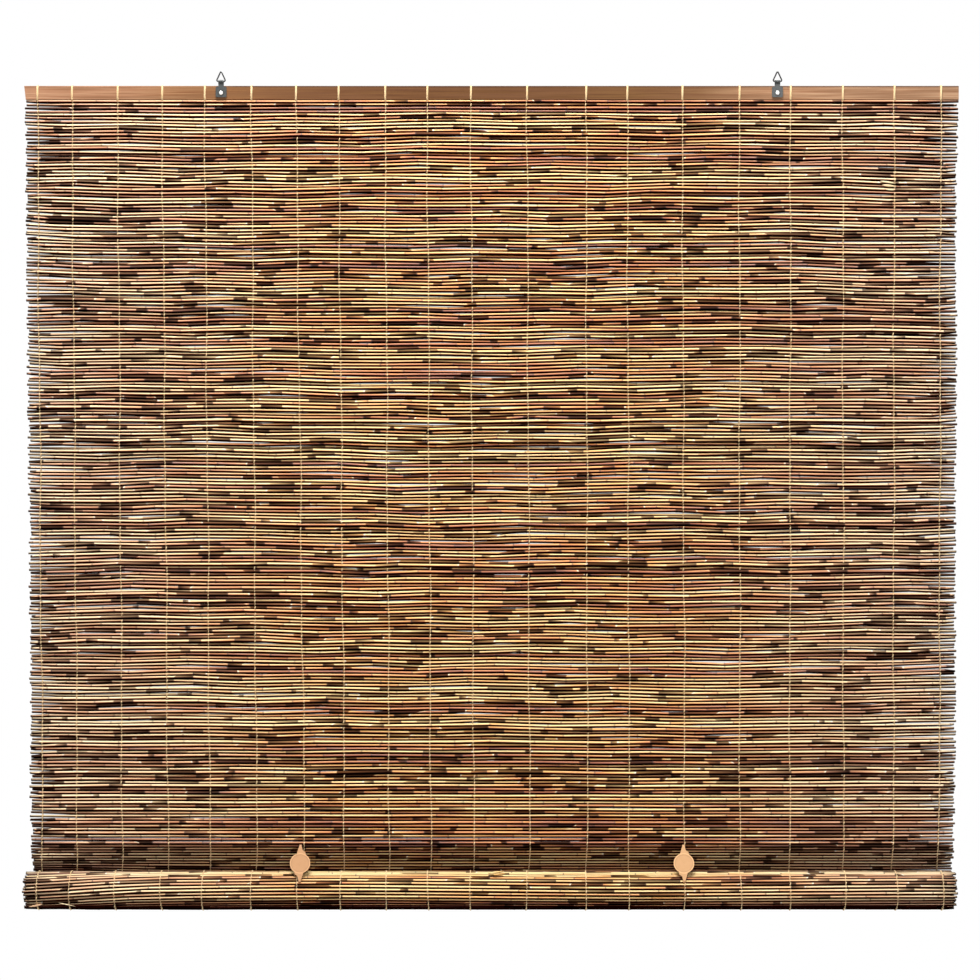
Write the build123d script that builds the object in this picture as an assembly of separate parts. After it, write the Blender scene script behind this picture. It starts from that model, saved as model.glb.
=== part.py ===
from build123d import *
import os
from math import asin, atan2, cos, degrees, hypot, pi, radians, sin, sqrt

os.makedirs("parts", exist_ok=True)

# Hand-rolled reed blind, hung by two ring hangers. Millimetres, +X along the header, front towards -Y.
# The origin is on the hanging line, the line through the inner tips of both rings, at mid-width.

# Header lath
header_length = 1200.0
header_height = 18.0
header_thickness = 5.0
header_edge = 0.8
header_end_slant = 2.0

# Reeds and the mat that they make
reed_thickness = 3.9
reed_pitch = 4.32
reed_crest = 1.7
valley_thickness = 1.6
mat_inset = 3.0
mat_ragged = 3.2
hanging_reeds = 219
sling_top_reeds = 3
gap_height = 1.2
gap_every = 4
gap_to_twine = 2.5

# Rolled end
roll_proud = 4.5
roll_shift = -2.5
roll_drop = 58.0
roll_outer_turn = 25.3
roll_core = 4.6
turn_spacing = 4.5

# Warp twines, each a ribbon as wide as its twisted strands
twine_width = 1.5
twine_thickness = 0.7
twine_seat = 0.1
twine_inset = {"left": 16.0, "right": 19.0}
twine_gap_weights = (44, 59, 58, 54, 60, 62, 51, 59, 54, 56, 72, 75, 53, 74.5, 69.5, 65, 68, 65, 60)
roll_reeds_per_flat = 2
roll_twine_stop = 28.0
sling_twine_stop = 14.0

# Strap hangers, one strip folded round the base bar of a ring. Each stands in a gap between two warp
# twines, at a share of that gap, and the gaps are counted from 0 at the left.
hanger_gaps = {"left": 4, "right": 15}
hanger_gap_shares = {"left": 0.3167, "right": 0.7231}
strap_thickness = 0.9
strap_layer_gap = 0.12
plate_width = 13.9
plate_height = 13.4
plate_below_top = 1.3
plate_corner = 1.6
neck_width = 7.0
bar_above_header = 5.4
fold_pinch = 3.4

# Rings of bent wire
wire_diameter = 1.8
ring_base = 12.4
ring_peak = 13.4
ring_corner = 1.6
ring_tip = 1.0
ring_play = 0.1

# Hanger screws
screw_head_diameter = 5.4
screw_head_height = 1.7
screw_head_rim = 0.5
screw_crown_diameter = 3.6
screw_shank_diameter = 2.6
screw_length = 6.0
screw_point = 2.0
screw_below_top = 9.3
screw_play = 0.2
screw_bite = 0.03
recess_width = 0.9
recess_length = 2.8
recess_depth = 0.8

# Sheet-metal hooks that hold the roll, each with a finger at both ends that turns in between two reeds
hook_twines = {"left": 6, "right": 14}
hook_from_twine = 2.6
hook_disc = 26.4
hook_thickness = 1.2
hook_reach = 24.4
hook_tongue = 3.2
hook_bend = 0.5
hook_tip_width = 2.8
hook_finger_width = 4.4
hook_finger_root = 5.4
hook_finger_taper = 4.2
hook_shoulder = 6.4
hook_shoulder_height = 15.0
hook_shoulder_flare = 1.0
hook_notch_round = 1.5
hook_rim = 1.7
hook_recess = 0.25
hook_dimple = 1.2
hook_play = 0.25

# Places that follow from those sizes
mat_width = header_length - 2 * mat_inset
roll_width = mat_width + 2 * roll_proud
first_twine = -mat_width / 2 + twine_inset["left"]
twine_spread = mat_width - twine_inset["left"] - twine_inset["right"]
twine_places = [
    first_twine + twine_spread * sum(twine_gap_weights[:twine]) / sum(twine_gap_weights)
    for twine in range(len(twine_gap_weights) + 1)
]
hanger_places = {
    side: twine_places[gap] + hanger_gap_shares[side] * (twine_places[gap + 1] - twine_places[gap])
    for side, gap in hanger_gaps.items()
}
crest = reed_thickness / 2
valley = valley_thickness / 2
wire_radius = wire_diameter / 2
fold_inner = wire_radius + ring_play
fold_outer = fold_inner + strap_thickness
half_tip = atan2(ring_base / 2, ring_peak)
bar_z = wire_radius + ring_tip / sin(half_tip) - ring_tip - ring_peak
header_top = bar_z - bar_above_header
header_bottom = header_top - header_height
header_middle = (header_top + header_bottom) / 2
header_front = fold_outer
mat_y = header_front + header_thickness / 2
plate_front = header_front - 2 * strap_thickness - strap_layer_gap
screw_z = header_top - screw_below_top
mat_bottom = header_bottom - hanging_reeds * reed_pitch
join_z = mat_bottom - twine_seat
sling_top = -sling_top_reeds * reed_pitch
kink_z = join_z - twine_thickness + sling_top
roll_z = kink_z - roll_drop
sling_angle = asin(roll_outer_turn / roll_drop)
sling_length = sqrt(roll_drop**2 - roll_outer_turn**2)
sling_reeds = sling_top_reeds + int(sling_length / reed_pitch)
roll_start = sling_top + sling_reeds * reed_pitch
spiral_turns = (roll_outer_turn - roll_core) / turn_spacing
spiral_length = pi * (roll_outer_turn + roll_core) * spiral_turns
roll_reeds = int(spiral_length / reed_pitch)


def spiral_turned(distance):
    """Angle that the spiral has turned after this length of mat."""
    under_root = max(roll_outer_turn**2 - turn_spacing * distance / pi, 0.0)
    return (roll_outer_turn - sqrt(under_root)) * 2 * pi / turn_spacing


def spiral_radius(turned):
    """Radius of the mat's middle surface after the spiral has turned this far."""
    return roll_outer_turn - turn_spacing * turned / (2 * pi)


def centre_point(distance):
    """Side-view point of the mat's middle surface, counted along the mat from its kink at the hooks."""
    if distance <= 0:
        return mat_y, kink_z - distance
    if distance <= sling_length:
        return mat_y + distance * sin(sling_angle), kink_z - distance * cos(sling_angle)
    turned = spiral_turned(distance - sling_length)
    angle = sling_angle - turned
    return mat_y + spiral_radius(turned) * cos(angle), roll_z + spiral_radius(turned) * sin(angle)


def heading(distance):
    """Unit direction of the mat in the side view, eased over half a reed."""
    start = centre_point(distance - reed_pitch / 4)
    end = centre_point(distance + reed_pitch / 4)
    length = hypot(end[0] - start[0], end[1] - start[1])
    return (end[0] - start[0]) / length, (end[1] - start[1]) / length


def beside(distance, offset, ahead=0.0):
    """Side-view point off the mat's middle surface. Positive is its rear, which rolls up outermost."""
    y, z = centre_point(distance)
    along_y, along_z = heading(distance)
    return y + ahead * along_y - offset * along_z, z + ahead * along_z + offset * along_y


def crossing(first, second, offset):
    """Side-view point where the tangents at two distances meet, both moved off by the same offset."""
    y1, z1 = beside(first, offset)
    y2, z2 = beside(second, offset)
    dy1, dz1 = heading(first)
    dy2, dz2 = heading(second)
    reach = ((y2 - y1) * dz2 - (z2 - z1) * dy2) / (dy1 * dz2 - dz1 * dy2)
    return y1 + reach * dy1, z1 + reach * dz1


def prism(points, width, x):
    """Side-view outline carried along X, centred on x."""
    face = make_face(Polyline(*points, close=True))
    return Pos(x, 0, 0) * extrude(Plane.YZ * face, amount=width / 2, both=True)


def reed_wall(start, reeds, width, x, rear_crest):
    """Wall of parallel reeds, as ridges on both sides, from a distance along the mat."""
    front = [beside(start, -valley)]
    rear = [beside(start, valley)]
    for reed in range(reeds):
        middle = start + (reed + 0.5) * reed_pitch
        edge = start + (reed + 1) * reed_pitch
        front += [beside(middle, -crest, -reed_crest / 2), beside(middle, -crest, reed_crest / 2)]
        front.append(beside(edge, -valley))
        if rear_crest:
            rear += [beside(middle, crest, -rear_crest / 2), beside(middle, crest, rear_crest / 2)]
        else:
            rear.append(beside(middle, crest))
        rear.append(beside(edge, valley))
    return prism(front + rear[::-1], width, x)


def ragged_end(reed, side):
    """How far the end of one reed stands out from the mat's nominal edge."""
    return mat_ragged * sin(2.4 * reed + side) * cos(0.83 * reed + 2 * side)


def mat_edge(side):
    """Edge of the hanging mat in the front view, top to bottom, with gaps between its free reed ends."""
    outer_twine = twine_places[-1] if side > 0 else twine_places[0]
    gap_end = outer_twine + side * gap_to_twine
    points = []
    for reed in range(hanging_reeds):
        top = header_bottom - reed * reed_pitch
        bottom = top - reed_pitch
        x = side * (mat_width / 2 + ragged_end(reed, side))
        if reed > 0 and (reed + side) % gap_every == 0:
            top -= gap_height / 2
            points.append((gap_end, top))
        points.append((x, top))
        if reed < hanging_reeds - 1 and (reed + 1 + side) % gap_every == 0:
            bottom += gap_height / 2
            points += [(x, bottom), (gap_end, bottom)]
        else:
            points.append((x, bottom))
    return points


def hanging_mat():
    """Flat part of the mat, from the header down to the reeds that the hooks catch."""
    wall = reed_wall(kink_z - header_bottom, hanging_reeds, mat_width + 4 * mat_ragged, 0, 0)
    outline = make_face(Polyline(*mat_edge(1), *mat_edge(-1)[::-1], close=True))
    return wall & (Pos(0, mat_y, 0) * extrude(Plane.XZ * outline, amount=reed_thickness, both=True))


def hanging_twine(x):
    """One warp twine: over the header lath and down both faces of the hanging mat."""
    inner = [
        (crest, join_z),
        (crest, header_bottom - reed_pitch),
        (header_thickness / 2, header_bottom),
        (header_thickness / 2, header_top),
    ]
    outer = [(y + twine_thickness, z) for y, z in inner]
    outer[-1] = (outer[-1][0], header_top + twine_thickness)
    rear = outer + [(-y, z) for y, z in outer[::-1]]
    front = [(-y, z) for y, z in inner] + inner[::-1]
    return prism([(mat_y + y, z) for y, z in rear + front], twine_width, x)


def rolled_twine(x):
    """The same twine below the join: a hairpin over the sling's top reed, then round the roll."""
    stop = 2 * pi - radians(roll_twine_stop)
    tangents = [sling_top / 2, sling_length / 2]
    reed = 1
    while spiral_turned(roll_start + (reed + 0.5) * reed_pitch - sling_length) < stop:
        tangents.append(roll_start + (reed + 0.5) * reed_pitch)
        reed += roll_reeds_per_flat
    pairs = list(zip(tangents, tangents[1:]))
    rear_inner = [crossing(a, b, crest) for a, b in pairs] + [beside(tangents[-1], crest)]
    over = crest + twine_thickness
    rear_outer = [crossing(a, b, over) for a, b in pairs] + [beside(tangents[-1], over)]
    end = sling_length - sling_twine_stop
    front_inner = [crossing(*tangents[:2], -crest), beside(end, -crest)]
    front_outer = [crossing(*tangents[:2], -over), beside(end, -over)]
    top_outer = [(mat_y + over, join_z), (mat_y - over, join_z)]
    top_inner = [(mat_y - crest, join_z - twine_thickness), (mat_y + crest, join_z - twine_thickness)]
    points = rear_outer[::-1] + top_outer + front_outer + front_inner[::-1] + top_inner + rear_inner
    return prism(points, twine_width, x)


def header():
    """Bamboo lath with eased long edges, one end cut a little out of square, and two pilot holes."""
    half_y = header_thickness / 2
    half_z = header_height / 2
    corner = [(half_y, half_z - header_edge), (half_y - header_edge, half_z)]
    upper = corner + [(-y, z) for y, z in corner[::-1]]
    section = upper + [(-y, -z) for y, z in upper]
    lath = prism([(mat_y + y, header_middle + z) for y, z in section], header_length, 0)
    half_x = header_length / 2
    ends = [
        (-half_x, header_top),
        (half_x, header_top),
        (half_x, header_bottom),
        (-half_x + header_end_slant, header_bottom),
    ]
    cut = make_face(Polyline(*ends, close=True))
    lath = lath & (Pos(0, mat_y, 0) * extrude(Plane.XZ * cut, amount=header_thickness, both=True))
    pilot = Cylinder(screw_shank_diameter / 2 + screw_bite, 2 * header_thickness, rotation=(90, 0, 0))
    for x in hanger_places.values():
        lath -= Pos(x, mat_y, screw_z) * pilot
    return lath


def ring(x):
    """Pointed wire ring on the hanging line, its base bar lying in the strap's fold."""
    corners = [
        (x - ring_base / 2, 0, bar_z),
        (x + ring_base / 2, 0, bar_z),
        (x, 0, bar_z + ring_peak),
    ]
    path = FilletPolyline(*corners, radius=[ring_corner, ring_corner, ring_tip], close=True)
    wire = []
    for edge in path.edges():
        section = Plane(origin=edge @ 0, z_dir=edge % 0) * Circle(wire_radius)
        if edge.geom_type == GeomType.LINE:
            wire.append(extrude(section, amount=edge.length))
        else:
            bend_axis = Axis(edge.arc_center, (edge @ 0 - edge.arc_center).cross(edge % 0))
            bend = degrees(edge.length / edge.radius)
            wire.append(revolve(section, axis=bend_axis, revolution_arc=bend))
    return wire[0] + wire[1:]


def strap(x):
    """One strip of steel, doubled: a narrow neck folded round the bar, opening out into a square plate."""
    plate_top = header_top - plate_below_top
    plate_bottom = plate_top - plate_height
    back = header_front - strap_thickness
    front = back - strap_layer_gap
    lean = atan2(front, fold_pinch) + asin(fold_inner / hypot(front, fold_pinch))
    slide = (plate_front + fold_outer * cos(lean)) / sin(lean)
    pinch_z = bar_z - fold_outer * sin(lean) - slide * cos(lean)
    outer_foot = (-fold_outer * cos(lean), bar_z - fold_outer * sin(lean))
    inner_foot = (-fold_inner * cos(lean), bar_z - fold_inner * sin(lean))
    inner_pinch = (front, bar_z - fold_pinch)
    edges = [
        Line((header_front, plate_bottom), (header_front, bar_z)),
        ThreePointArc((fold_outer, bar_z), (0, bar_z + fold_outer), outer_foot),
        Line(outer_foot, (plate_front, pinch_z)),
        Line((plate_front, pinch_z), (plate_front, plate_bottom)),
        Line((plate_front, plate_bottom), (front, plate_bottom)),
        Line((front, plate_bottom), inner_pinch),
        Line(inner_pinch, inner_foot),
        ThreePointArc(inner_foot, (0, bar_z + fold_inner), (fold_inner, bar_z)),
        Line((fold_inner, bar_z), (back, plate_bottom)),
        Line((back, plate_bottom), (header_front, plate_bottom)),
    ]
    strip = extrude(Plane.YZ * make_face(edges), amount=plate_width, both=True)
    plate = Pos(0, (plate_top + plate_bottom) / 2) * RectangleRounded(plate_width, plate_height, plate_corner)
    neck_height = bar_z + fold_outer - plate_bottom - plate_corner
    neck = Pos(0, plate_bottom + plate_corner + neck_height / 2) * Rectangle(neck_width, neck_height)
    solid = strip & extrude(Plane.XZ * (plate + neck), amount=2 * fold_outer, both=True)
    solid -= Pos(0, 0, screw_z) * Cylinder(
        screw_shank_diameter / 2 + screw_play, 4 * fold_outer, rotation=(90, 0, 0)
    )
    return Pos(x, 0, 0) * solid


def screw(x):
    """Pan-head wood screw with a cross recess, its head on the strap's front layer."""
    head = screw_head_diameter / 2
    shank = screw_shank_diameter / 2
    crown = (screw_crown_diameter / 2, screw_head_height)
    shoulder = ((crown[0] + 2 * head) / 3, (2 * screw_head_height + screw_head_rim) / 3)
    profile = [
        Polyline((0, -screw_length), (0, screw_head_height), crown),
        ThreePointArc(crown, shoulder, (head, screw_head_rim)),
        Polyline(
            (head, screw_head_rim),
            (head, 0),
            (shank, 0),
            (shank, screw_point - screw_length),
            (0, -screw_length),
        ),
    ]
    face = make_face([edge for piece in profile for edge in piece.edges()])
    solid = revolve(Plane.XZ * face, axis=Axis.Z)
    slot = Box(recess_length, recess_width, recess_depth)
    cross = slot + Rot(0, 0, 90) * slot
    solid -= Pos(0, 0, screw_head_height - recess_depth / 2) * cross
    return Plane(origin=(x, plate_front, screw_z), z_dir=(0, -1, 0)) * solid


def hook_plane(side):
    """Plane of a hook's back face, centred on its disc: X across, Y up the hook, Z out of its front."""
    rise = crest + hook_play
    turned = pi + 2 * sling_angle
    reach = spiral_radius(turned) + crest + twine_thickness
    half_flat = roll_reeds_per_flat * reed_pitch / (2 * reach)
    touch = reach / cos(half_flat) + hook_play
    lean = asin(touch / hypot(rise, roll_drop)) - atan2(rise, roll_drop)
    x = twine_places[hook_twines[side]] - hook_from_twine
    origin = (x, mat_y - rise - hook_reach * sin(lean), kink_z - hook_reach * cos(lean))
    return Plane(origin=origin, x_dir=(1, 0, 0), z_dir=(0, -cos(lean), sin(lean)))


def hook():
    """Stamped hook lying flat: a dished disc, and at each end a notched finger with its tip turned in."""
    half = hook_thickness / 2
    bend_start = hook_reach - half - hook_bend
    bend_middle = (hook_bend + hook_thickness) / sqrt(2)
    inner_middle = hook_bend / sqrt(2)
    top = [
        Line((0, 0), (bend_start, 0)),
        ThreePointArc(
            (bend_start, 0),
            (bend_start + inner_middle, inner_middle - hook_bend),
            (hook_reach - half, -hook_bend),
        ),
        Line((hook_reach - half, -hook_bend), (hook_reach - half, -hook_tongue)),
        Line((hook_reach - half, -hook_tongue), (hook_reach + half, -hook_tongue)),
        Line((hook_reach + half, -hook_tongue), (hook_reach + half, -hook_bend)),
        ThreePointArc(
            (hook_reach + half, -hook_bend),
            (bend_start + bend_middle, bend_middle - hook_bend),
            (bend_start, hook_thickness),
        ),
        Line((bend_start, hook_thickness), (0, hook_thickness)),
        Line((0, hook_thickness), (0, 0)),
    ]
    upper_strip = extrude(Plane.YZ * make_face(top), amount=hook_disc, both=True)
    strip = upper_strip + Rot(0, 0, 180) * upper_strip
    tip = hook_tip_width / 2
    beyond = hook_reach + hook_thickness
    dish_radius = hook_disc / 2 - hook_rim
    root = (-hook_finger_root, sqrt(dish_radius**2 - hook_finger_root**2))
    shoulder_foot = hook_shoulder + hook_shoulder_flare
    shoulder_root = (shoulder_foot, sqrt(dish_radius**2 - shoulder_foot**2))
    notch_top = (hook_finger_width / 2, hook_reach - hook_finger_taper)
    notch_low = (hook_shoulder, hook_shoulder_height)
    notch_middle = (notch_top[0] + hook_notch_round, notch_low[1] + hook_notch_round)
    finger_edges = [
        Polyline((0, 0), root, (-tip, bend_start), (-tip, beyond)),
        Polyline((-tip, beyond), (tip, beyond), (tip, bend_start), notch_top),
        ThreePointArc(notch_top, notch_middle, notch_low),
        Polyline(notch_low, shoulder_root, (0, 0)),
    ]
    finger = make_face([edge for piece in finger_edges for edge in piece.edges()])
    outline = Circle(hook_disc / 2) + finger + Rot(0, 0, 180) * finger
    depth = hook_tongue + hook_thickness
    solid = strip & (Pos(0, 0, -hook_tongue) * extrude(outline, amount=depth))
    dish = Cylinder(dish_radius, 2 * hook_recess)
    dimple = Cone(0, hook_dimple, hook_dimple)
    solid -= Pos(0, 0, hook_thickness) * dish
    return solid - Pos(0, 0, hook_thickness - hook_recess) * dimple


def hook_slots(side):
    """Room that both turned-in tips of a hook need between the reeds."""
    slot = Box(hook_tip_width + 2 * hook_play, hook_thickness + 2 * hook_play, 2 * (hook_tongue + hook_play))
    return hook_plane(side) * (Pos(0, hook_reach, 0) * slot + Pos(0, -hook_reach, 0) * slot)


nodes = {"header_slat": header(), "reed_mat": hanging_mat()}
sling = reed_wall(sling_top, sling_reeds, mat_width, roll_shift, reed_crest)
roll = reed_wall(roll_start, roll_reeds, roll_width, roll_shift, reed_crest)
for side in hook_twines:
    sling -= hook_slots(side)
    roll -= hook_slots(side)
    nodes["hook_" + side] = hook_plane(side) * hook()
nodes["reed_sling"] = sling
nodes["reed_roll"] = roll

for side, x in hanger_places.items():
    nodes["hanger_ring_" + side] = ring(x)
    nodes["hanger_strap_" + side] = strap(x)
    nodes["hanger_screw_" + side] = screw(x)

for number, x in enumerate(twine_places, 1):
    nodes[f"warp_twine_{number:02d}"] = hanging_twine(x)
    nodes[f"roll_twine_{number:02d}"] = rolled_twine(x)

for name, shape in nodes.items():
    export_step(shape, f"parts/{name}.step")
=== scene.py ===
import math

import bpy
import numpy as np
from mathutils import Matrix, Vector, noise


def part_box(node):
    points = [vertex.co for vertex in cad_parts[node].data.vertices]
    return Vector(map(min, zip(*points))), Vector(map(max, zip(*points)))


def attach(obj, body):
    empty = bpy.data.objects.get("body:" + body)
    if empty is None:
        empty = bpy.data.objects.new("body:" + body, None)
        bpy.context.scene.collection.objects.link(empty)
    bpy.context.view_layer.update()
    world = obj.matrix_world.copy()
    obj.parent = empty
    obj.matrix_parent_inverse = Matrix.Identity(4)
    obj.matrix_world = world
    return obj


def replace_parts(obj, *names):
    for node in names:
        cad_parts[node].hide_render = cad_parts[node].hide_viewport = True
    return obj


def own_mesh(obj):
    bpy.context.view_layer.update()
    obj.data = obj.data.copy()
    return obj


# A hand-rolled reed blind. Lengths are in millimetres until a mesh is made, and x, y, z are the part's own.
MM = 0.001

# A noise's scale is its number of features to the millimetre, times this
PER_MM = 1000

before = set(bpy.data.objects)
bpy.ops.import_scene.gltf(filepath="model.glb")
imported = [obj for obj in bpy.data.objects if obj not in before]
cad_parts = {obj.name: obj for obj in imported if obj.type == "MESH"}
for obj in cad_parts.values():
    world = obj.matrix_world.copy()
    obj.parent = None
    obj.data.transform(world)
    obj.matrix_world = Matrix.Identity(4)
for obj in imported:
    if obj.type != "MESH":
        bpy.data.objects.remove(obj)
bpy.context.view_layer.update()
chance = np.random.default_rng(7)

HEADER_LOW, HEADER_HIGH = (Vector(corner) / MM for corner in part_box("header_slat"))
MAT_Y = (HEADER_LOW.y + HEADER_HIGH.y) / 2
HEADER_BOTTOM, HEADER_TOP = HEADER_LOW.z, HEADER_HIGH.z

# Rows of reeds, one PITCH apart along the mat: they hang, turn at the hooks into a sling, and end in the roll
PITCH = 4.32
HANGING_ROWS = 219
SLING_TOP_ROWS = 3
SLING_ROWS = 15
ROLL_ROWS = 100
OUTER_ROLL_ROWS = 44
TWINED_ROLL_ROWS = 42
FIRST_ROLLED = HANGING_ROWS + SLING_ROWS
FIRST_INNER = FIRST_ROLLED + OUTER_ROLL_ROWS

# The lowest hanging rows and the topmost sling rows close up by this much where the mat turns at the hooks
CLOSING_ROWS, CLOSED_UP = (180, 218), 0.5
SUNK_ROWS, SUNK = (HANGING_ROWS + 3, HANGING_ROWS), 0.3

# Spiral of the roll, whose middle is ROLL_DROP below the kink that the mat makes at the hooks
ROLL_DROP = 58.0
OUTER_TURN = 25.3
TURN_SPACING = 4.5
GAP_AT_SLING = 0.8
KINK_Z = HEADER_BOTTOM - HANGING_ROWS * PITCH - GAP_AT_SLING - SLING_TOP_ROWS * PITCH
ROLL_Z = KINK_Z - ROLL_DROP
SLING_ANGLE = math.asin(OUTER_TURN / ROLL_DROP)
SLING_LENGTH = math.sqrt(ROLL_DROP**2 - OUTER_TURN**2)

# A hanging reed is pressed a little taller than it is deep by the twines in front of it and behind it
REED_RADIUS = 2.15
HANGING_FLATNESS = 1.2
ROLLED_FLATNESS = 1.04

# The first strand of a twine is the fuller one, and the second lies closer to the reeds
STRAND_RADIUS = 0.64
STRAND_GIRTHS = (1.15, 0.65)
STRAND_REACHES = (0.95, 0.35)
LASHING_RADIUS = 0.68

# Places of the twenty warp twines across the blind: at the header, low on the mat, and on the roll
TWINE_TOP = (
    -583, -538.6, -480, -422.8, -368.1, -308.2, -251, -196.3, -136.4, -82.4,
    -26.4, 45.7, 121.6, 174.4, 245.2, 318.5, 384.2, 451.1, 517.4, 577.2,
)
TWINE_LOW = (
    -579.8, -534.8, -476.8, -417.6, -363.6, -303.1, -241.3, -189.8, -131.9, -77.9,
    -22.5, 49.5, 124.2, 178.2, 249.7, 321.1, 385.5, 455, 519.3, 578.5,
)
TWINE_ROLL = (
    -585, -543.8, -485.8, -425.3, -371.3, -309.5, -250.3, -194.9, -136.4, -81.7,
    -26.4, 45.7, 121.6, 177, 247.7, 321.1, 385.5, 456.2, 521.9, 581,
)

# Edges of the hanging mat, which the free reed ends follow: (depth below the hanging line, end of the reed)
LEFT_EDGE = ((40, -598.5), (290, -597.5), (610, -595.5), (960, -595.5), (1030, -593.5))
RIGHT_EDGE = ((40, 600), (110, 598.5), (230, 597.5), (360, 600), (560, 598), (800, 600), (1030, 598))
FARTHEST_RIGHT = 600
ROLL_LEFT, ROLL_RIGHT = -603.5, 599

# Free ends lie outside the outermost twines and thin out between these places
FREE_LEFT, FREE_RIGHT = (-578, -600), (577, 600)


def spiral_turned(distance):
    """Angle that the roll's spiral has turned after this length of mat."""
    reached = math.sqrt(max(OUTER_TURN**2 - TURN_SPACING * distance / math.pi, 0))
    return (OUTER_TURN - reached) * 2 * math.pi / TURN_SPACING


def side_view(distance):
    """Side-view place (y, z) of the mat's middle, counted along the mat from its kink at the hooks."""
    if distance <= 0:
        return np.array((MAT_Y, KINK_Z - distance))
    if distance <= SLING_LENGTH:
        return np.array((MAT_Y + distance * math.sin(SLING_ANGLE), KINK_Z - distance * math.cos(SLING_ANGLE)))
    turned = spiral_turned(distance - SLING_LENGTH)
    radius = OUTER_TURN - TURN_SPACING * turned / (2 * math.pi)
    angle = SLING_ANGLE - turned
    return np.array((MAT_Y + radius * math.cos(angle), ROLL_Z + radius * math.sin(angle)))


def smooth(low, high, value):
    """0 below low, 1 above high, and an even ease between them."""
    share = np.clip((value - low) / (high - low), 0, 1)
    return share * share * (3 - 2 * share)


def sway(x, z):
    """How far the rows rise and fall together across the mat, because hand-laid reeds aren't straight."""
    broad = 0.9 * np.sin(x / 148 + z / 210 + 1.0) + 0.7 * np.sin(x / 83 - z / 155 + 2.3)
    narrow = 0.9 * np.sin(x / 31 + 2.4 * np.sin(z / 47))
    return broad + narrow + 0.4 * np.sin(x / 17 + z / 29 + 1.5 * np.sin(x / 90))


def skew(x):
    """Angle by which the roll is wound askew towards its left end, where its front reeds hang lower."""
    return 0.42 * smooth(-420, -640, x) + 0.05 * np.sin(x / 120)


class Row:
    """One reed's run across the blind: its row's place along the mat, from which its centre line follows."""

    def __init__(self, number):
        self.number = number
        self.hangs = number < HANGING_ROWS
        if self.hangs:
            lowered = CLOSED_UP * smooth(*CLOSING_ROWS, number)
            self.distance = KINK_Z - (HEADER_BOTTOM - (number + 0.5) * PITCH) + lowered
        else:
            sunk = SUNK * smooth(*SUNK_ROWS, number)
            self.distance = (number - HANGING_ROWS - SLING_TOP_ROWS + 0.5) * PITCH - sunk
        self.rolled = number >= FIRST_ROLLED

    def centre(self, x):
        """(y, z) of the row's middle at each x."""
        x = np.asarray(x, float)
        y, z = side_view(self.distance)
        if self.hangs:
            loose = smooth(KINK_Z, KINK_Z + 220, z) * smooth(HEADER_BOTTOM, HEADER_BOTTOM - 30, z)
            return np.stack((np.full_like(x, y), z + loose * sway(x, z)), -1)
        angle = skew(x) * smooth(0, SLING_LENGTH, self.distance)
        dy, dz = y - MAT_Y, z - ROLL_Z
        turned_y = MAT_Y + dy * np.cos(angle) - dz * np.sin(angle)
        turned_z = ROLL_Z + dy * np.sin(angle) + dz * np.cos(angle)
        return np.stack((turned_y, turned_z), -1)


ROWS = [Row(number) for number in range(FIRST_ROLLED + ROLL_ROWS)]

# Distance between a reed's joints, and the palest tone that a stem has away from its rubbed spots
INTERNODE = (45, 100)
PALEST = 0.86


def stem(left, right, height):
    """One dried reed from end to end: stations along X with girth, look (tone, sheath, dark mark) and slant.

    Its joints stand an internode apart. A leaf sheath, where one is left, covers part of an internode from
    its joint on and ends torn at a slant, with a pale rubbed spot beyond. Some are darker than others, and
    neighbouring reeds have their sheaths in patches.
    """
    flipped = chance.random() < 0.5
    tone = chance.beta(1.9, 1.6)
    husky = chance.beta(1.1, 1.5)
    stations = []
    at = left - chance.uniform(0, 70)
    while at < right:
        internode = chance.uniform(*INTERNODE)
        local = noise.noise(Vector((at / 170, height / 45, 4.0)))
        shade = np.clip(tone + chance.normal(0, 0.12) + 0.3 * local, 0, 0.84)
        patchy = noise.noise(Vector((at / 75, height / 16, 0.0)))
        stations.append((at - 1.3, 1.0, shade, 0.0, 0.0, 0.0))
        if chance.random() < 0.12 + 0.8 * husky + 0.7 * patchy:
            short = chance.random() < 0.62
            cover = internode * (chance.uniform(0.08, 0.45) if short else chance.uniform(0.45, 0.85))
            age = chance.uniform(0.6, 1.0)
            torn = min(chance.gamma(1.2, 3.0), 0.4 * cover, 0.8 * (internode - cover))
            stations.append((at, 1.13, shade, 0.5 * age, 1.0, 0.0))
            stations.append((at + 1.4, 1.06, shade, age, 0.4, 0.0))
            stations.append((at + cover, 1.04, shade, age * chance.uniform(0.35, 1.0), 0.0, torn))
            rubbed = 1.4 if chance.random() < 0.4 else min(shade + 0.3, PALEST)
            stations.append((at + cover + 0.6, 0.97, rubbed, 0.0, 0.0, torn))
            stations.append((at + cover + 2.8, 0.98, min(shade + 0.2, PALEST), 0.0, 0.0, torn))
        else:
            stations.append((at, 1.1, shade, 0.0, 0.8, 0.0))
            stations.append((at + 1.4, 0.99, min(shade + 0.2, PALEST), 0.0, 0.0, 0.0))
        at += internode
    stations = np.array(stations)
    if flipped:
        stations[:, 0] = left + right - stations[:, 0]
        stations = stations[::-1]
    order = np.argsort(stations[:, 0], kind="stable")
    stations = stations[order]
    inside = stations[(stations[:, 0] > left + 2) & (stations[:, 0] < right - 2)]
    first, last = inside[0].copy(), inside[-1].copy()
    ends = []
    for end, look, sign in ((left, first, 1), (right, last, -1)):
        near, tip = look.copy(), look.copy()
        near[0], tip[0] = end + sign * 1.9, end
        near[4], tip[4], tip[5] = 0.55, 1.0, chance.uniform(-0.9, 0.9)
        near[5] = tip[5]
        near[1], tip[1] = look[1] * 0.92, look[1] * 0.84
        ends.append((near, tip))
    return np.vstack((ends[0][1], ends[0][0], inside, ends[1][0], ends[1][1]))


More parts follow.
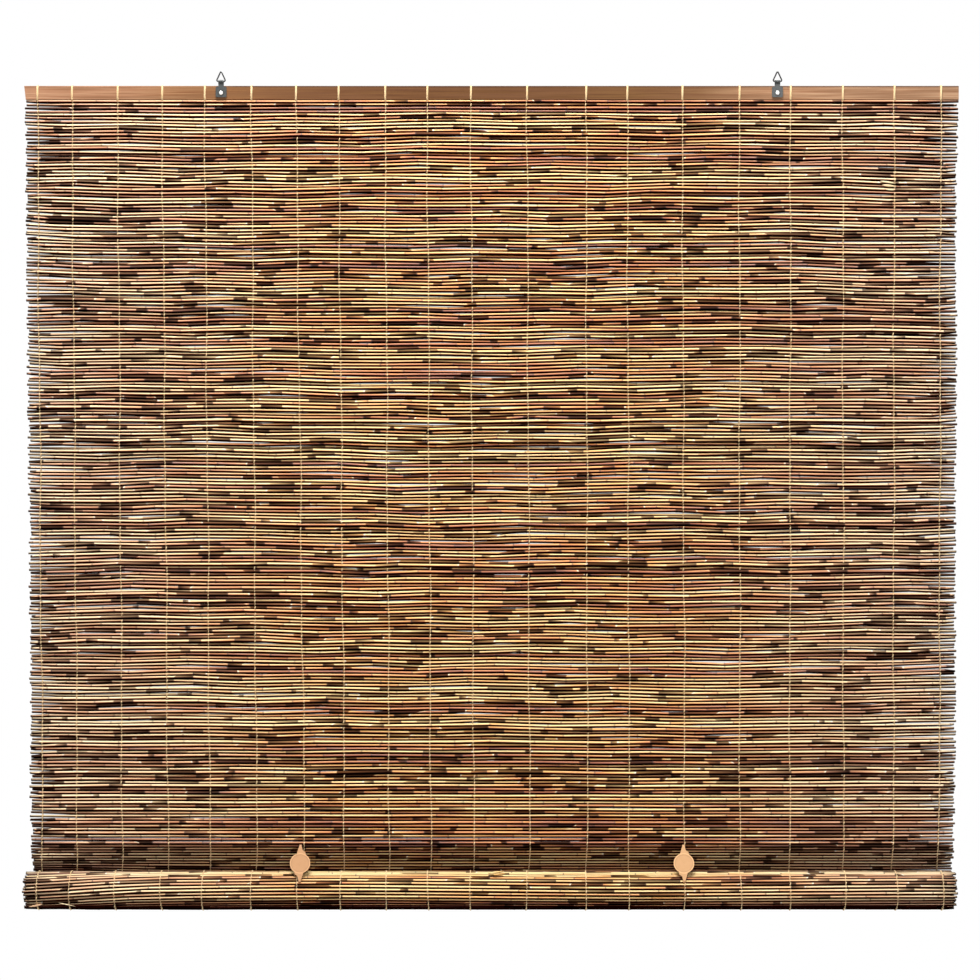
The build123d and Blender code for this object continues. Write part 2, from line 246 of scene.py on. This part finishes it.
def reed(row, left, right, radius, sides, looseness):
    """Mesh of one reed on its row: points, faces and a look for each point."""
    outline = stem(left, right, row.distance)
    x = outline[:, 0]
    lean = 0.12 * looseness * chance.uniform(-1, 1)
    taper = np.interp(x, (left, right), (1 + lean, 1 - lean))
    free = np.maximum(smooth(*FREE_LEFT, x), smooth(*FREE_RIGHT, x))
    girth = radius * outline[:, 1] * taper * (1 - (0.34 if row.hangs else 0.2) * free)
    centre = row.centre(x)
    drift = np.interp(x, np.linspace(left, right, 17), chance.normal(0, 0.24 * looseness, 17))
    splay = free * chance.normal(0, 0.45) * looseness
    centre[:, 1] += drift + splay
    depth = chance.normal(0, 0.4)
    centre[:, 0] += looseness * np.interp(x, np.linspace(left, right, 9), depth + chance.normal(0, 0.25, 9))
    turns = 2 * np.pi * (np.arange(sides) + 0.5) / sides
    ring = np.stack((np.cos(turns), np.sin(turns)), -1)
    points = np.empty((len(x), sides, 3))
    slanted = x[:, None] + outline[:, 5:] * np.sin(turns + chance.uniform(0, 6))[None]
    points[:, :, 0] = np.clip(slanted, left, right)
    flatness = HANGING_FLATNESS if row.hangs else ROLLED_FLATNESS
    points[:, :, 1:] = centre[:, None, :] + girth[:, None, None] * (ring * (1, flatness))[None]
    looks = np.empty((len(x), sides, 4))
    looks[:, :, :3] = outline[:, None, 2:5]
    # The fourth look is the place round the reed, from its top (0) to its underside (1), which the material
    # uses for painted shade
    looks[:, :, 3] = 0.5 - 0.5 * ring[:, 1]
    return points.reshape(-1, 3), tube_faces(len(x), sides), looks.reshape(-1, 4)


def tube_faces(stations, sides):
    """Quads of a tube whose rings follow each other, closed by one face at each end."""
    faces = []
    for station in range(stations - 1):
        low, high = station * sides, (station + 1) * sides
        for side in range(sides):
            after = (side + 1) % sides
            faces.append((low + side, low + after, high + after, high + side))
    faces.append(tuple(range(sides))[::-1])
    faces.append(tuple(range((stations - 1) * sides, stations * sides)))
    return faces


def strand(path, radius, sides):
    """Mesh of a thin twisted strand along a path of points in millimetres."""
    path = np.asarray(path, float)
    ahead = np.gradient(path, axis=0)
    ahead /= np.linalg.norm(ahead, axis=1)[:, None]
    across = np.array((1.0, 0, 0)) - ahead * ahead[:, :1]
    across /= np.linalg.norm(across, axis=1)[:, None]
    upward = np.cross(ahead, across)
    turns = 2 * np.pi * (np.arange(sides) + 0.5) / sides
    ring = np.cos(turns)[None, :, None] * across[:, None] + np.sin(turns)[None, :, None] * upward[:, None]
    radius = np.broadcast_to(radius, len(path))
    points = path[:, None] + radius[:, None, None] * ring
    return points.reshape(-1, 3), tube_faces(len(path), sides)


def piece(name, parts, material, body):
    """One object from several closed meshes in millimetres, riding on a body."""
    points, faces, looks, start = [], [], [], 0
    for part in parts:
        points.append(part[0])
        faces += [tuple(index + start for index in face) for face in part[1]]
        if len(part) > 2:
            looks.append(part[2])
        start += len(part[0])
    points = np.vstack(points)
    mesh = bpy.data.meshes.new(name)
    mesh.from_pydata((points * MM).tolist(), [], faces)
    if looks:
        stems = mesh.color_attributes.new("stem", "FLOAT_COLOR", "POINT")
        values = np.vstack(looks).astype(np.float32)
        stems.data.foreach_set("color", values.ravel())
    mesh.polygons.foreach_set("use_smooth", [True] * len(mesh.polygons))
    mesh.materials.append(material)
    mesh.update()
    made = bpy.data.objects.new(name, mesh)
    bpy.context.scene.collection.objects.link(made)
    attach(made, body)
    return made


# Materials

def linear(code):
    """A colour written as sRGB hex, in the linear values that shaders take."""
    channels = [int(code[place:place + 2], 16) / 255 for place in (1, 3, 5)]
    return [c / 12.92 if c <= 0.04045 else ((c + 0.055) / 1.055) ** 2.4 for c in channels] + [1.0]


def fill(node, **inputs):
    """Fills or links a node's inputs, whose names or identifiers have _ for spaces."""
    for key, value in inputs.items():
        name = key.replace("_", " ")
        socket = next(s for s in node.inputs if s.enabled and s.name == name or s.identifier == key)
        if isinstance(value, bpy.types.NodeSocket):
            node.id_data.links.new(value, socket)
        else:
            socket.default_value = value


def add(tree, kind, settings=None, out=None, stops=(), **inputs):
    """Adds a node with its settings, its inputs and, on a ramp, its stops of (place, sRGB hex).

    Returns the output that is named, or else the first one in use. Its node holds any others.
    """
    node = tree.nodes.new(kind)
    for key, value in (settings or {}).items():
        setattr(node, key, value)
    fill(node, **inputs)
    if stops:
        marks = node.color_ramp.elements
        while len(marks) < len(stops):
            marks.new(0.5)
        for mark, (place, code) in zip(marks, stops):
            mark.position = place
            mark.color = linear(code)
    return node.outputs[out] if out else next(socket for socket in node.outputs if socket.enabled)


def finish_named(name, **values):
    """A material with its Principled shader, and the shader's plain values set on its own sockets."""
    material = bpy.data.materials.new(name)
    material.use_nodes = True
    shader = material.node_tree.nodes["Principled BSDF"]
    fill(shader, **values)
    return material, material.node_tree, shader


def grain(tree, along, across, detail=3.0):
    """A pattern drawn out along X, with the length and the width of its streaks in millimetres."""
    place = add(tree, "ShaderNodeTexCoord", out="Object")
    scale = (PER_MM / along, PER_MM / across, PER_MM / across)
    stretched = add(tree, "ShaderNodeMapping", Vector=place, Scale=scale)
    return add(tree, "ShaderNodeTexNoise", Vector=stretched, Scale=1.0, Detail=detail)


MIX = {"data_type": "RGBA"}
MULTIPLY = {"data_type": "RGBA", "blend_type": "MULTIPLY"}
PRODUCT = {"operation": "MULTIPLY"}
CLAMPED_SUM = {"operation": "ADD", "use_clamp": True}
CLAMPED_DIFFERENCE = {"operation": "SUBTRACT", "use_clamp": True}

# Tones of a reed from its dullest to a rubbed spot: skin in mid-blind, skin near the sides, and sheaths
SKIN_TONES = (
    (0.0, "#7a3d1a"), (0.2, "#a85d28"), (0.42, "#d3863e"), (0.66, "#f1b866"),
    (0.9, "#fce29a"), (0.97, "#fce29a"), (1.0, "#fff6dc"),
)
SIDE_TONES = (
    (0.0, "#8a5a3c"), (0.3, "#c69068"), (0.6, "#ecc296"),
    (0.9, "#f9e4b6"), (0.97, "#f9e4b6"), (1.0, "#fff6e4"),
)
HUSK_TONES = ((0.0, "#120501"), (0.4, "#281107"), (0.75, "#422412"), (1.0, "#684528"))

# Painted shade round a reed, from its top (0) to its underside (1): a dark edge at the top, a lit upper half,
# then an orange-brown band and near black over the underside and in the groove below
PAINTED_GROOVE_SHADE_TONES = (
    (0.03, "#4a2814"), (0.13, "#ffffff"), (0.35, "#ffffff"),
    (0.46, "#8c3f12"), (0.56, "#240800"), (1.0, "#080100"),
)


def dried_reed():
    """Dried reed stem: waxy straw skin with a soft gloss, under dull dark leaf sheaths that end abruptly.

    The wax gives the bare stem its low gloss, and the fibrous sheaths and the grooves have none. Each reed
    carries painted shade over its underside and in the grooves beside it.
    """
    material, tree, shader = finish_named("reed_dried_waxy_stem", IOR=1.45)
    stems = add(tree, "ShaderNodeAttribute", {"attribute_name": "stem"}, "Color")
    look = add(tree, "ShaderNodeSeparateColor", Color=stems).node.outputs
    tone, sheath, mark = look[0], look[1], look[2]
    around = stems.node.outputs["Alpha"]
    groove = add(tree, "ShaderNodeMapRange", Value=around, From_Min=0.42, From_Max=0.56)

    # Fibres in the skin are about 0.1 mm wide, and are drawn 0.9 mm wide so that they show
    streaks = grain(tree, 30, 0.9)
    patches = grain(tree, 55, 6)
    place = add(tree, "ShaderNodeSeparateXYZ", Vector=add(tree, "ShaderNodeTexCoord", out="Object"))
    off_middle = add(tree, "ShaderNodeMath", {"operation": "ABSOLUTE"}, Value=place)
    eased = {"interpolation_type": "SMOOTHSTEP"}
    sides = add(tree, "ShaderNodeMapRange", eased, Value=off_middle, From_Min=0.15, From_Max=0.6)
    summed = {"operation": "MULTIPLY_ADD"}
    uneven = add(tree, "ShaderNodeMath", summed, Value=patches, Value_001=0.4, Value_002=-0.2)
    uneven_tone = add(tree, "ShaderNodeMath", CLAMPED_SUM, Value=tone, Value_001=uneven)

    skin = add(tree, "ShaderNodeValToRGB", stops=SKIN_TONES, Fac=uneven_tone)
    side_skin = add(tree, "ShaderNodeValToRGB", stops=SIDE_TONES, Fac=uneven_tone)
    skin = add(tree, "ShaderNodeMix", MIX, Factor_Float=sides, A_Color=skin, B_Color=side_skin)
    husk = add(tree, "ShaderNodeValToRGB", stops=HUSK_TONES, Fac=uneven_tone)
    colour = add(tree, "ShaderNodeMix", MIX, Factor_Float=sheath, A_Color=skin, B_Color=husk)
    streaked = add(tree, "ShaderNodeMapRange", Value=streaks, From_Min=0.3, From_Max=0.7, To_Max=0.35)
    fibre_brown, mark_brown = linear("#6b4022"), linear("#26150c")
    colour = add(tree, "ShaderNodeMix", MULTIPLY, Factor_Float=streaked, A_Color=colour, B_Color=fibre_brown)
    colour = add(tree, "ShaderNodeMix", MIX, Factor_Float=mark, A_Color=colour, B_Color=mark_brown)
    # Painted shade: the colour is multiplied down by place round the reed, darkest on the underside and in
    # the grooves
    painted_groove_shade = add(tree, "ShaderNodeValToRGB", stops=PAINTED_GROOVE_SHADE_TONES, Fac=around)
    colour = add(tree, "ShaderNodeMix", MULTIPLY, Factor_Float=1.0, A_Color=colour, B_Color=painted_groove_shade)

    gloss = add(tree, "ShaderNodeMapRange", Value=sheath, To_Min=0.42, To_Max=0.8)
    ungrooved = add(tree, "ShaderNodeMath", CLAMPED_DIFFERENCE, Value=1.0, Value_001=groove)
    waxed = add(tree, "ShaderNodeMapRange", Value=sheath, To_Min=0.5, To_Max=0.06)
    shine = add(tree, "ShaderNodeMath", PRODUCT, Value=ungrooved, Value_001=waxed)
    fibres = add(tree, "ShaderNodeBump", Strength=0.25, Distance=0.0003, Height=grain(tree, 25, 0.5))
    fill(shader, Base_Color=colour, Roughness=gloss, Specular_IOR_Level=shine, Normal=fibres)
    return material


def cotton_twine():
    """Twisted cream cotton twine: matt, with the twist of its plies showing as fine slanted ridges."""
    material, tree, shader = finish_named("twine_twisted_cotton", Roughness=0.9, IOR=1.47)
    place = add(tree, "ShaderNodeTexCoord", out="Object")
    lean, scale = (0, math.radians(35), 0), (1.4 * PER_MM, 0.4 * PER_MM, 1.4 * PER_MM)
    slanted = add(tree, "ShaderNodeMapping", Vector=place, Rotation=lean, Scale=scale)

    # The ridges stand 0.45 mm apart
    bands = {"bands_direction": "Z"}
    twist = add(tree, "ShaderNodeTexWave", bands, "Fac", Vector=slanted, Scale=0.5, Distortion=1.5)
    patches = grain(tree, 20, 20)
    dull, fresh = linear("#e0bc86"), linear("#f3dbb0")
    cream = add(tree, "ShaderNodeMix", MIX, Factor_Float=patches, A_Color=dull, B_Color=fresh)
    plies = add(tree, "ShaderNodeValToRGB", stops=((0.0, "#a98a58"), (1.0, "#ffffff")), Fac=twist)
    colour = add(tree, "ShaderNodeMix", MULTIPLY, Factor_Float=0.25, A_Color=cream, B_Color=plies)
    ridges = add(tree, "ShaderNodeBump", Strength=0.4, Distance=0.0002, Height=twist)
    fill(shader, Base_Color=colour, Normal=ridges)
    return material


# Tones of the lath from its left end to its right, and the heights between which its upper arris darkens
LATH_TONES = (
    (0.0, "#bf9575"), (0.11, "#b58a69"), (0.16, "#a67e58"), (0.22, "#8c623a"), (0.3, "#77512a"),
    (0.43, "#69441d"), (0.55, "#6a461e"), (0.66, "#78552b"), (0.72, "#825e3a"), (0.8, "#ba9472"),
    (1.0, "#bd9c7c"),
)
ARRIS_LOW, ARRIS_HIGH = (HEADER_TOP - 2.2) * MM, (HEADER_TOP - 1.4) * MM


def bamboo_lath():
    """Split and planed bamboo: low gloss and straight grain, pale at both ends and browner in the middle."""
    material, tree, shader = finish_named(
        "bamboo_split_planed", Roughness=0.55, IOR=1.5, Specular_IOR_Level=0.2
    )
    place = add(tree, "ShaderNodeSeparateXYZ", Vector=add(tree, "ShaderNodeTexCoord", out="Object"))
    height = place.node.outputs["Z"]
    along = add(tree, "ShaderNodeMapRange", Value=place, From_Min=-0.6, From_Max=0.6)
    base = add(tree, "ShaderNodeValToRGB", stops=LATH_TONES, Fac=along)

    # Bamboo fibre bundles are about 0.3 mm wide, and are drawn 0.7 mm wide so that they show
    fine = grain(tree, 90, 0.7, 5.0)
    broad = grain(tree, 160, 5)
    fine_share = add(tree, "ShaderNodeMapRange", Value=fine, From_Min=0.3, From_Max=0.7, To_Max=0.85)
    broad_share = add(tree, "ShaderNodeMapRange", Value=broad, From_Min=0.42, From_Max=0.6, To_Max=0.5)
    grain_tan, grain_brown, arris_brown = linear("#a87850"), linear("#6a4428"), linear("#3d2413")
    colour = add(tree, "ShaderNodeMix", MULTIPLY, Factor_Float=fine_share, A_Color=base, B_Color=grain_tan)
    colour = add(tree, "ShaderNodeMix", MIX, Factor_Float=broad_share, A_Color=colour, B_Color=grain_brown)
    arris = add(tree, "ShaderNodeMapRange", Value=height, From_Min=ARRIS_LOW, From_Max=ARRIS_HIGH)
    dark_run = add(
        tree, "ShaderNodeMapRange", Value=place, From_Min=-0.35, From_Max=-0.33, To_Min=0.1, To_Max=0.75
    )
    dark_arris = add(tree, "ShaderNodeMath", PRODUCT, Value=arris, Value_001=dark_run)
    colour = add(tree, "ShaderNodeMix", MIX, Factor_Float=dark_arris, A_Color=colour, B_Color=arris_brown)
    planed = add(tree, "ShaderNodeBump", Strength=0.3, Distance=0.0004, Height=fine)
    fill(shader, Base_Color=colour, Normal=planed)
    return material


def box_middle(node):
    """Middle of a part's box."""
    low, high = (Vector(corner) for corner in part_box(node))
    return (low + high) / 2


def black_strip(side):
    """Stamped steel strip with black oxide: dark, satin and faintly mottled, with a painted shadow round the
    screw.
    """
    material, tree, shader = finish_named(f"steel_strip_black_oxide_{side}")
    place = add(tree, "ShaderNodeTexCoord", out="Object")
    mottle = add(tree, "ShaderNodeTexNoise", Vector=place, Scale=0.45 * PER_MM, Detail=4.0)
    screw = box_middle(f"hanger_screw_{side}")
    seen_flat = add(tree, "ShaderNodeVectorMath", PRODUCT, "Vector", Vector=place, Vector_001=(1, 0, 1))
    distance = {"operation": "DISTANCE"}
    from_screw = add(
        tree, "ShaderNodeVectorMath", distance, "Value", Vector=seen_flat, Vector_001=(screw.x, 0, screw.z)
    )
    # Painted shadow: the strip darkens to near black from 4.5 mm to 3 mm round the screw's middle
    painted_screw_shadow = add(tree, "ShaderNodeMapRange", Value=from_screw, From_Min=0.0045, From_Max=0.003, To_Max=0.9)
    oxide = add(tree, "ShaderNodeValToRGB", stops=((0.3, "#1a1e1e"), (0.7, "#303534")), Fac=mottle)
    black = linear("#050505")
    colour = add(tree, "ShaderNodeMix", MIX, Factor_Float=painted_screw_shadow, A_Color=oxide, B_Color=black)
    gloss = add(tree, "ShaderNodeMapRange", Value=mottle, To_Min=0.28, To_Max=0.48)
    fill(shader, Base_Color=colour, Roughness=gloss)
    return material


def black_wire():
    """Bent wire under black lacquer: glossy and almost even, with a trace of the wire's drawing marks."""
    material, tree, shader = finish_named("wire_black_lacquer", Roughness=0.35)
    place = add(tree, "ShaderNodeTexCoord", out="Object")
    marks = add(tree, "ShaderNodeTexNoise", Vector=place, Scale=0.9 * PER_MM, Detail=3.0)
    lacquer = add(tree, "ShaderNodeValToRGB", stops=((0.3, "#060606"), (0.8, "#181818")), Fac=marks)
    fill(shader, Base_Color=lacquer)
    return material


def bright_zinc():
    """Zinc-plated screw: pale bright metal with a slightly clouded plating."""
    material, tree, shader = finish_named("screw_bright_zinc", Metallic=1.0)
    place = add(tree, "ShaderNodeTexCoord", out="Object")
    cloud = add(tree, "ShaderNodeTexNoise", Vector=place, Scale=0.6 * PER_MM)
    plating = add(tree, "ShaderNodeValToRGB", stops=((0.3, "#c9cac6"), (0.7, "#f1f1ee")), Fac=cloud)
    gloss = add(tree, "ShaderNodeMapRange", Value=cloud, To_Min=0.3, To_Max=0.5)
    fill(shader, Base_Color=plating, Roughness=gloss)
    return material


# The two hooks differ a little in shade. Rings of painted light run out from the middle to the fingers' tips:
# a painted highlight at the dimple, a thin painted shade just inside the rim and a white painted highlight on
# the raised rim.
HOOK_SHADES = {"left": ("#c4925f", "#cf9d6d"), "right": ("#d1a16a", "#dcac79")}
HOOK_PAINTED_LIGHT_TONES = (
    (0.0, "#f4f0ea"), (0.04, "#e0dad4"), (0.5, "#e0dad4"), (0.58, "#d2cac2"),
    (0.615, "#ffffff"), (0.65, "#ffffff"), (0.69, "#e0dad4"), (1.0, "#e0dad4"),
)
HOOK_PAINTED_LIGHT_REACH = 0.0205


def tan_lacquer(side):
    """Stamped sheet under tan lacquer: satin and even, with painted highlights on the raised rim and at the
    dimple.
    """
    material, tree, shader = finish_named(f"sheet_tan_lacquer_{side}", Roughness=0.5, IOR=1.5)
    place = add(tree, "ShaderNodeTexCoord", out="Object")
    cloud = add(tree, "ShaderNodeTexNoise", Vector=place, Scale=0.16 * PER_MM, Detail=3.0)
    darker, lighter = (linear(code) for code in HOOK_SHADES[side])
    tan = add(tree, "ShaderNodeMix", MIX, Factor_Float=cloud, A_Color=darker, B_Color=lighter)
    middle = box_middle(f"hook_{side}")
    distance = {"operation": "DISTANCE"}
    from_middle = add(tree, "ShaderNodeVectorMath", distance, "Value", Vector=place, Vector_001=middle)
    away = add(tree, "ShaderNodeMapRange", Value=from_middle, From_Max=HOOK_PAINTED_LIGHT_REACH)
    # Painted highlights at the dimple and on the rim, and painted shade just inside the rim
    painted_rim_light = add(tree, "ShaderNodeValToRGB", stops=HOOK_PAINTED_LIGHT_TONES, Fac=away)
    colour = add(tree, "ShaderNodeMix", MULTIPLY, Factor_Float=1.0, A_Color=tan, B_Color=painted_rim_light)
    peel = add(tree, "ShaderNodeTexNoise", Vector=place, Scale=1.5 * PER_MM)
    orange_peel = add(tree, "ShaderNodeBump", Strength=0.1, Distance=0.0002, Height=peel)
    fill(shader, Base_Color=colour, Normal=orange_peel)
    return material


REED, TWINE = dried_reed(), cotton_twine()
WIRE, SCREW = black_wire(), bright_zinc()
finishes = {"header_slat": bamboo_lath()}
for side in ("left", "right"):
    finishes[f"hanger_strap_{side}"] = black_strip(side)
    finishes[f"hanger_ring_{side}"] = WIRE
    finishes[f"hanger_screw_{side}"] = SCREW
    finishes[f"hook_{side}"] = tan_lacquer(side)
for name, material in finishes.items():
    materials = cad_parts[name].data.materials
    materials.clear()
    materials.append(material)


# Reeds of the hanging mat, in three bands, which gather upwards when the roll is lifted

def edges(row):
    """Where the reed of this row ends, left and right."""
    if row.rolled:
        return ROLL_LEFT + chance.uniform(0, 5), ROLL_RIGHT + chance.uniform(-4.5, 0.8)
    depth = -side_view(row.distance)[1]
    left, right = (np.interp(depth, *zip(*edge)) for edge in (LEFT_EDGE, RIGHT_EDGE))
    return left + chance.uniform(-1.8, 2.4), min(right + chance.uniform(-2.6, 1.2), FARTHEST_RIGHT)


BAND_ROWS = HANGING_ROWS // 3
for band in range(3):
    reeds = [
        reed(row, *edges(row), REED_RADIUS * chance.uniform(0.92, 1.08), 8, 1.0)
        for row in ROWS[band * BAND_ROWS:(band + 1) * BAND_ROWS]
    ]
    mat = piece(f"reeds_hanging_{band + 1}", reeds, REED, "blind")
    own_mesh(mat)
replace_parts(mat, "reed_mat")

reeds = [reed(row, *edges(row), REED_RADIUS, 8, 0.5) for row in ROWS[HANGING_ROWS:FIRST_ROLLED]]
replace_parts(piece("reeds_sling", reeds, REED, "roll"), "reed_sling")
outer = [
    reed(row, *edges(row), REED_RADIUS * chance.uniform(0.94, 1.02), 8, 0.55)
    for row in ROWS[FIRST_ROLLED:FIRST_INNER]
]
inner = [reed(row, *edges(row), REED_RADIUS, 5, 0.8) for row in ROWS[FIRST_INNER:]]
roll = piece("reeds_roll", outer, REED, "roll")
piece("reeds_roll_core", inner, REED, "roll")
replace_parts(roll, "reed_roll")


# Torn sheath and splinters

def splinter(start, end, girth, lift, tone):
    """A strip of torn sheath, thickest in its middle, whose far end stands off the reeds."""
    share = np.linspace(0, 1, 7)
    path = np.outer(1 - share, start) + np.outer(share, end)
    path[:, 1] -= lift * share**2
    points, faces = strand(path, girth * np.sin(np.pi * (0.12 + 0.83 * share)), 5)
    looks = np.tile((tone, 0.0, 0.0, 0.28), (len(points), 1))
    looks[:5, 2] = 0.5
    return points, faces, looks


def on_roll(x, angle, off):
    """Point beside the roll's surface at an angle below (negative) or above its front, in degrees."""
    reach = OUTER_TURN + REED_RADIUS + off
    turned = math.radians(angle)
    return x, MAT_Y - reach * math.cos(turned), ROLL_Z + reach * math.sin(turned)


def on_mat(x, depth):
    """Point just in front of the hanging mat, at a depth below the lath's top."""
    return x, MAT_Y - REED_RADIUS - 0.6, HEADER_TOP - depth


torn = [
    splinter(on_roll(-577, -33, 0.2), on_roll(-595, -43, 0.2), 1.3, 0.6, 0.5),
    splinter(on_roll(-556, -28, 0.2), on_roll(-535, -41, 0.2), 0.6, 0.8, 0.85),
    splinter(on_roll(-4, 58, 0.3), on_roll(16, 66, 0.2), 1.4, 0.5, 0.8),
    splinter(on_roll(2, 52, 0.3), on_roll(18, 57, 0.2), 1.0, 0.6, 0.6),
]
piece("reed_splinters_roll", torn, REED, "roll")
curled = [
    splinter(on_mat(500, 122), on_mat(519, 125), 1.2, 0.5, 0.9),
    splinter(on_mat(502, 127), on_mat(520, 129), 1.5, 0.4, 0.8),
    splinter(on_mat(505, 132), on_mat(517, 134), 1.0, 0.7, 0.9),
]
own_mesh(piece("sheath_curl_hanging", curled, REED, "blind"))


# Warp twines: two strands that pass each other between every two reeds

def twine_x(number, row):
    """Where a twine crosses a row: it wanders a little down the mat and steps over at the roll."""
    along = min(row.number / (HANGING_ROWS - 1), 1.0)
    low = TWINE_TOP[number] + (TWINE_LOW[number] - TWINE_TOP[number]) * along
    step = smooth(HANGING_ROWS + 2, FIRST_ROLLED + 12, row.number)
    drift = 0.8 * math.sin(row.number / 13 + number) + 0.5 * math.sin(row.number / 5.3 + 2 * number)
    return low + (TWINE_ROLL[number] - low) * step + drift


def twined(number, rows, which):
    """One strand of a twine over these rows: in front of every second reed, behind the others."""
    path = []
    for index, row in enumerate(rows):
        x = twine_x(number, row)
        centre = row.centre(x)
        before = rows[index - 1].centre(x) if index else 2 * centre - rows[index + 1].centre(x)
        after = rows[index + 1].centre(x) if index + 1 < len(rows) else 2 * centre - before
        along = after - before
        along /= np.linalg.norm(along)
        outward = np.array((along[1], -along[0]))
        side = 1 if (row.number + which) % 2 else -1
        reach = side * (REED_RADIUS + STRAND_REACHES[which] * STRAND_RADIUS)
        slant = -side * 0.6
        path.append((x - slant, *((before + centre) / 2)))
        path.append((x - 0.4 * slant, *(centre - 0.95 * along + reach * outward)))
        path.append((x + 0.4 * slant, *(centre + 0.95 * along + reach * outward)))
    return strand(path, STRAND_RADIUS * STRAND_GIRTHS[which], 4)


for half, numbers in (("left", range(10)), ("right", range(10, 20))):
    strands = [twined(number, ROWS[:HANGING_ROWS], which) for number in numbers for which in (0, 1)]
    twines = piece(f"twines_hanging_{half}", strands, TWINE, "blind")
    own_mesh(twines)
    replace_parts(twines, *[f"warp_twine_{number + 1:02d}" for number in numbers])
wound = ROWS[HANGING_ROWS:FIRST_ROLLED + TWINED_ROLL_ROWS]
strands = [twined(number, wound, which) for number in range(20) for which in (0, 1)]
twines = piece("twines_roll", strands, TWINE, "roll")
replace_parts(twines, *[f"roll_twine_{number + 1:02d}" for number in range(20)])


# Lashings over the header lath, which stay where they are when the mat gathers

def lashing(x, offset):
    """One strand up the lath's front, over its top and down its back."""
    reach = (HEADER_HIGH.y - HEADER_LOW.y) / 2 + 0.45
    low, high = HEADER_BOTTOM - 1.5, HEADER_TOP + 0.45
    front = [(-1.2, low), (-reach, low + 2.2), (-reach - 0.1, low + 8), (-reach, high - 1.6)]
    front += [(-reach + 1.4, high), (0, high + 0.15)]
    path = front + [(-y, z) for y, z in front[-2::-1]]
    path = [(x + offset + 0.15 * math.sin(z), MAT_Y + y, z) for y, z in path]
    return strand(path, LASHING_RADIUS, 6)


lashings = [lashing(x, offset) for x in TWINE_TOP for offset in (-0.6, 0.6)]
piece("twine_lashings", lashings, TWINE, "blind")


# Studio: a pale floor, an even white surround, a softbox from above and weaker fills from front and back

def softbox(name, place, aim, size, power):
    """A white area lamp that faces a point."""
    lamp = bpy.data.lights.new(name, "AREA")
    lamp.shape = "RECTANGLE"
    lamp.size, lamp.size_y = size
    lamp.energy = power
    holder = bpy.data.objects.new(name, lamp)
    holder.location = place
    holder.rotation_euler = (Vector(aim) - Vector(place)).to_track_quat("-Z", "Y").to_euler()
    bpy.context.scene.collection.objects.link(holder)


def seen_directly(tree, *kinds):
    """1 for rays of these kinds and 0 for all others."""
    rays = add(tree, "ShaderNodeLightPath").node.outputs
    seen = rays[kinds[0]]
    for kind in kinds[1:]:
        seen = add(tree, "ShaderNodeMath", {"operation": "MAXIMUM"}, Value=seen, Value_001=rays[kind])
    return seen


FLOOR_Z, FLOOR_REACH = -2.0, 6.0
PURE_WHITE = (1, 1, 1, 1)
white_floor, tree, shader = finish_named("studio_floor_white", Roughness=0.9, Base_Color=linear("#d8d8d5"))
seen = seen_directly(tree, "Is Camera Ray", "Is Glossy Ray")
glow = add(tree, "ShaderNodeEmission", Color=PURE_WHITE, Strength=1.0)
both = add(tree, "ShaderNodeMixShader", Fac=seen)
tree.links.new(shader.outputs[0], both.node.inputs[1])
tree.links.new(glow, both.node.inputs[2])
fill(tree.nodes["Material Output"], Surface=both)
corners = [(x * FLOOR_REACH, y * FLOOR_REACH, FLOOR_Z) for x, y in ((-1, -1), (1, -1), (1, 1), (-1, 1))]
floor_mesh = bpy.data.meshes.new("floor")
floor_mesh.from_pydata(corners, [], [(0, 1, 2, 3)])
floor_mesh.materials.append(white_floor)
floor = bpy.data.objects.new("floor", floor_mesh)
bpy.context.scene.collection.objects.link(floor)

world = bpy.data.worlds.new("studio")
bpy.context.scene.world = world
world.use_nodes = True
seen = seen_directly(world.node_tree, "Is Camera Ray", "Is Glossy Ray", "Is Transmission Ray")
strength = add(world.node_tree, "ShaderNodeMapRange", Value=seen, To_Min=0.05, To_Max=1.0)
fill(world.node_tree.nodes["Background"], Color=PURE_WHITE, Strength=strength)

softbox("key_above", (-0.25, -1.25, 2.6), (0, 0, -0.5), (1.8, 0.45), 232)
softbox("fill_front", (0.3, -3.3, 0.1), (0, 0, -0.7), (1.6, 0.8), 40)
softbox("fill_back", (0.4, 2.8, 1.2), (0, 0, -0.6), (1.8, 1.0), 75)

# Camera: in front of the blind's middle, which it looks down on by TILT degrees, for a square picture
MIDDLE = Vector((-0.0019, 0, -0.5355))
DISTANCE, TILT = 3.4, 1.25
HALF_VIEW, HALF_SENSOR = 0.6307, 18
camera_data = bpy.data.cameras.new("camera")
camera_data.sensor_width = 2 * HALF_SENSOR
camera_data.lens = HALF_SENSOR / (HALF_VIEW / DISTANCE)
camera = bpy.data.objects.new("camera", camera_data)
camera.location = MIDDLE + Vector((0, -DISTANCE, DISTANCE * math.tan(math.radians(TILT))))
camera.rotation_euler = (MIDDLE - camera.location).to_track_quat("-Z", "Y").to_euler()
bpy.context.scene.collection.objects.link(camera)
bpy.context.scene.camera = camera
bpy.context.scene.view_settings.view_transform = "Standard"
